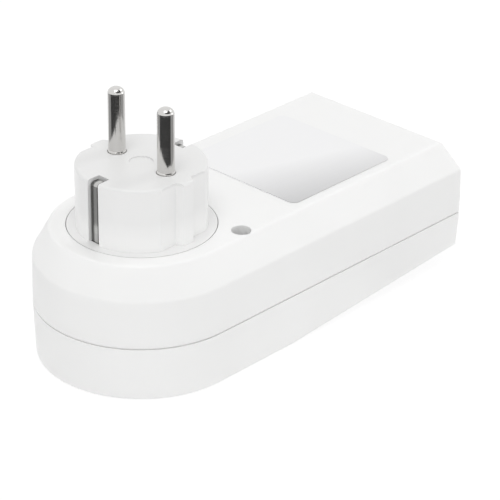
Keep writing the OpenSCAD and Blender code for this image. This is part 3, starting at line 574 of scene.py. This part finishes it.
def layRow(on, off, f, marks, height, width, stroke, pitch, level, end):
    middle = panel["lensRow"] + level
    right = end
    for mark in reversed(marks):
        if mark == "0":
            layFigure(on, off, f, right - width / 2, middle, height, width, stroke)
            right -= pitch
        else:
            between = right + (pitch - width) / 2
            for rise in f["dots"][mark]:
                layPatch(on, between, middle + rise * height, stroke, stroke, f["dotCorner"] * stroke)
    layPatch(off, end + f["flagStep"], middle, *f["flag"], *f["flagCorner"])


def makeFigures(f):
    on, off = bmesh.new(), bmesh.new()
    for row in f["rows"]:
        layRow(on, off, f, *row)
    for name, sheet, slot in (("figuresOn", on, "chip_black"), ("figuresOff", off, "lcd_glass")):
        raiseFilm(sheet, f["film"], f["depth"])
        keepPiece(name, sheet, prints[name], "housing")


makeFigures(figures)

# border printed on the back of the lens, in mm
border = {
    "depth": 1.17,
    "film": 0.04,
    "outer": (43.5, 27.5),
    "window": (36.4, 21.2),
    "corners": (1.8, 0.8),
    "steps": 5,
}


def makeBorder(b):
    sheet = bmesh.new()
    layFrame(sheet, 0, panel["lensRow"], b["outer"], b["window"], b["corners"], b["steps"])
    raiseFilm(sheet, b["film"], b["depth"])
    keepPiece("displayBorder", sheet, prints["displayBorder"], "housing")


makeBorder(border)

# plain signs on the key caps
signs = {
    "row": 17.5,                 # mm up the panel
    "pitch": 12.4,
    "depth": 0.3,
    "film": 0.03,
    "radius": 1.5,
    "line": 0.5,
    "arrowTurn": {"up": -90, "down": 90},            # degrees
    "arrowCorner": 0.2,                              # mm
    "arrowSteps": 3,
    "frameCorner": {"ring": 0.999, "square": 0.2},   # share of the half width
    "frameSteps": 8,
    "keys": (
        # key, column in pitches, sign
        ("key_up", -1.5, "up"),
        ("key_down", -0.5, "down"),
        ("key_mode", 0.5, "ring"),
        ("key_set", 1.5, "square"),
    ),
}


def layArrow(sheet, s, right, shape):
    turn = Matrix.Rotation(math.radians(s["arrowTurn"][shape]), 4, "Z")
    bmesh.ops.create_circle(sheet, cap_ends=True, radius=s["radius"], segments=3,
                            matrix=Matrix.Translation((s["row"], right, 0)) @ turn)
    bmesh.ops.bevel(sheet, geom=sheet.verts[:], offset=s["arrowCorner"], affect="VERTICES",
                    segments=s["arrowSteps"], profile=0.5, material=-1)


def makeSign(s, key, column, shape):
    sheet = bmesh.new()
    right = column * s["pitch"]
    if shape in s["arrowTurn"]:
        layArrow(sheet, s, right, shape)
    else:
        halves = (s["radius"], s["radius"] - s["line"])
        sizes = [(2 * half, 2 * half) for half in halves]
        corners = [half * s["frameCorner"][shape] for half in halves]
        layFrame(sheet, right, s["row"], *sizes, corners, s["frameSteps"])
    raiseFilm(sheet, s["film"], s["depth"])
    keepPiece(key.replace("key_", "") + "Sign", sheet, prints["keySigns"], key)


for key in signs["keys"]:
    makeSign(signs, *key)
print("display figures, border and key signs laid")

# case screws at the bottom of the wells, with a cross recess
caseScrew = {
    "headRadius": 2.6,           # mm
    "headHeight": 2.0,
    "shankRadius": 1.45,
    "tipRadius": 0.5,
    "tipLength": 1.0,
    "cross": 2.9,
    "slot": 0.7,
    "recess": 1.2,
    "taper": 0.55,               # share of the cross that is left at its floor
    "cuts": 3,                   # on each edge between the cross and the round head
    "rings": (
        # share of the head's radius, share of its height
        (0.66, 1.0), (0.80, 0.95), (0.91, 0.84), (0.97, 0.68), (1.0, 0.5), (1.0, 0.0),
    ),
}


# square middle of the head, with the cross sunk into it
def sinkCross(sheet, c):
    bmesh.ops.create_grid(sheet, x_segments=3, y_segments=3, size=1)
    for v in sheet.verts:
        sides = [c["cross"] if abs(k) > 0.5 else c["slot"] for k in v.co.xy]
        v.co = [math.copysign(side / 2, k) for side, k in zip(sides, v.co.xy)] + [0]
    rim = [e for e in sheet.edges if e.is_boundary]
    floor = [f for f in sheet.faces if min(abs(k) for k in f.calc_center_median().xy) < c["slot"] / 2]
    sunk = bmesh.ops.extrude_face_region(sheet, geom=floor)
    deep = pointsIn(sunk["geom"])
    bmesh.ops.scale(sheet, verts=deep, vec=(c["taper"], c["taper"], 1))
    bmesh.ops.translate(sheet, verts=deep, vec=(0, 0, -c["recess"]))
    bmesh.ops.subdivide_edges(sheet, edges=rim, cuts=c["cuts"])


# takes the middle's edge out over the head, down the shank and in to the tip
def growRings(sheet, c, bottom):
    rings = [(c["headRadius"] * r, c["headHeight"] * (z - 1)) for r, z in c["rings"]]
    rings.append((c["shankRadius"], -c["headHeight"]))
    rings.append((c["shankRadius"], bottom + c["tipLength"]))
    rings.append((c["tipRadius"], bottom))
    edges = [e for e in sheet.edges if e.is_boundary]
    for radius, level in rings:
        grown = bmesh.ops.extrude_edge_only(sheet, edges=edges)["geom"]
        edges = [e for e in grown if isinstance(e, bmesh.types.BMEdge) and e.is_boundary]
        for v in pointsIn(grown):
            v.co = (*(v.co.xy.normalized() * radius), level)
    bmesh.ops.contextual_create(sheet, geom=edges)


def makeCaseScrews(c):
    low, high = (Vector(corner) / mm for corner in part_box("case_screws"))
    sheet = bmesh.new()
    sinkCross(sheet, c)
    growRings(sheet, c, low.z - high.z)
    first = sheet.verts[:]
    copied = bmesh.ops.duplicate(sheet, geom=sheet.verts[:] + sheet.edges[:] + sheet.faces[:])
    middle = (low.x + high.x) / 2
    out = high.y - c["headRadius"]
    bmesh.ops.translate(sheet, verts=first, vec=(middle, out, high.z))
    bmesh.ops.translate(sheet, verts=pointsIn(copied["geom"]), vec=(middle, -out, high.z))
    bmesh.ops.scale(sheet, verts=sheet.verts, vec=(mm, mm, mm))
    piece = keepPiece("crossScrews", sheet, finishes["screw_steel"], "housing")
    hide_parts("case_screws")


makeCaseScrews(caseScrew)
print("case screws made")
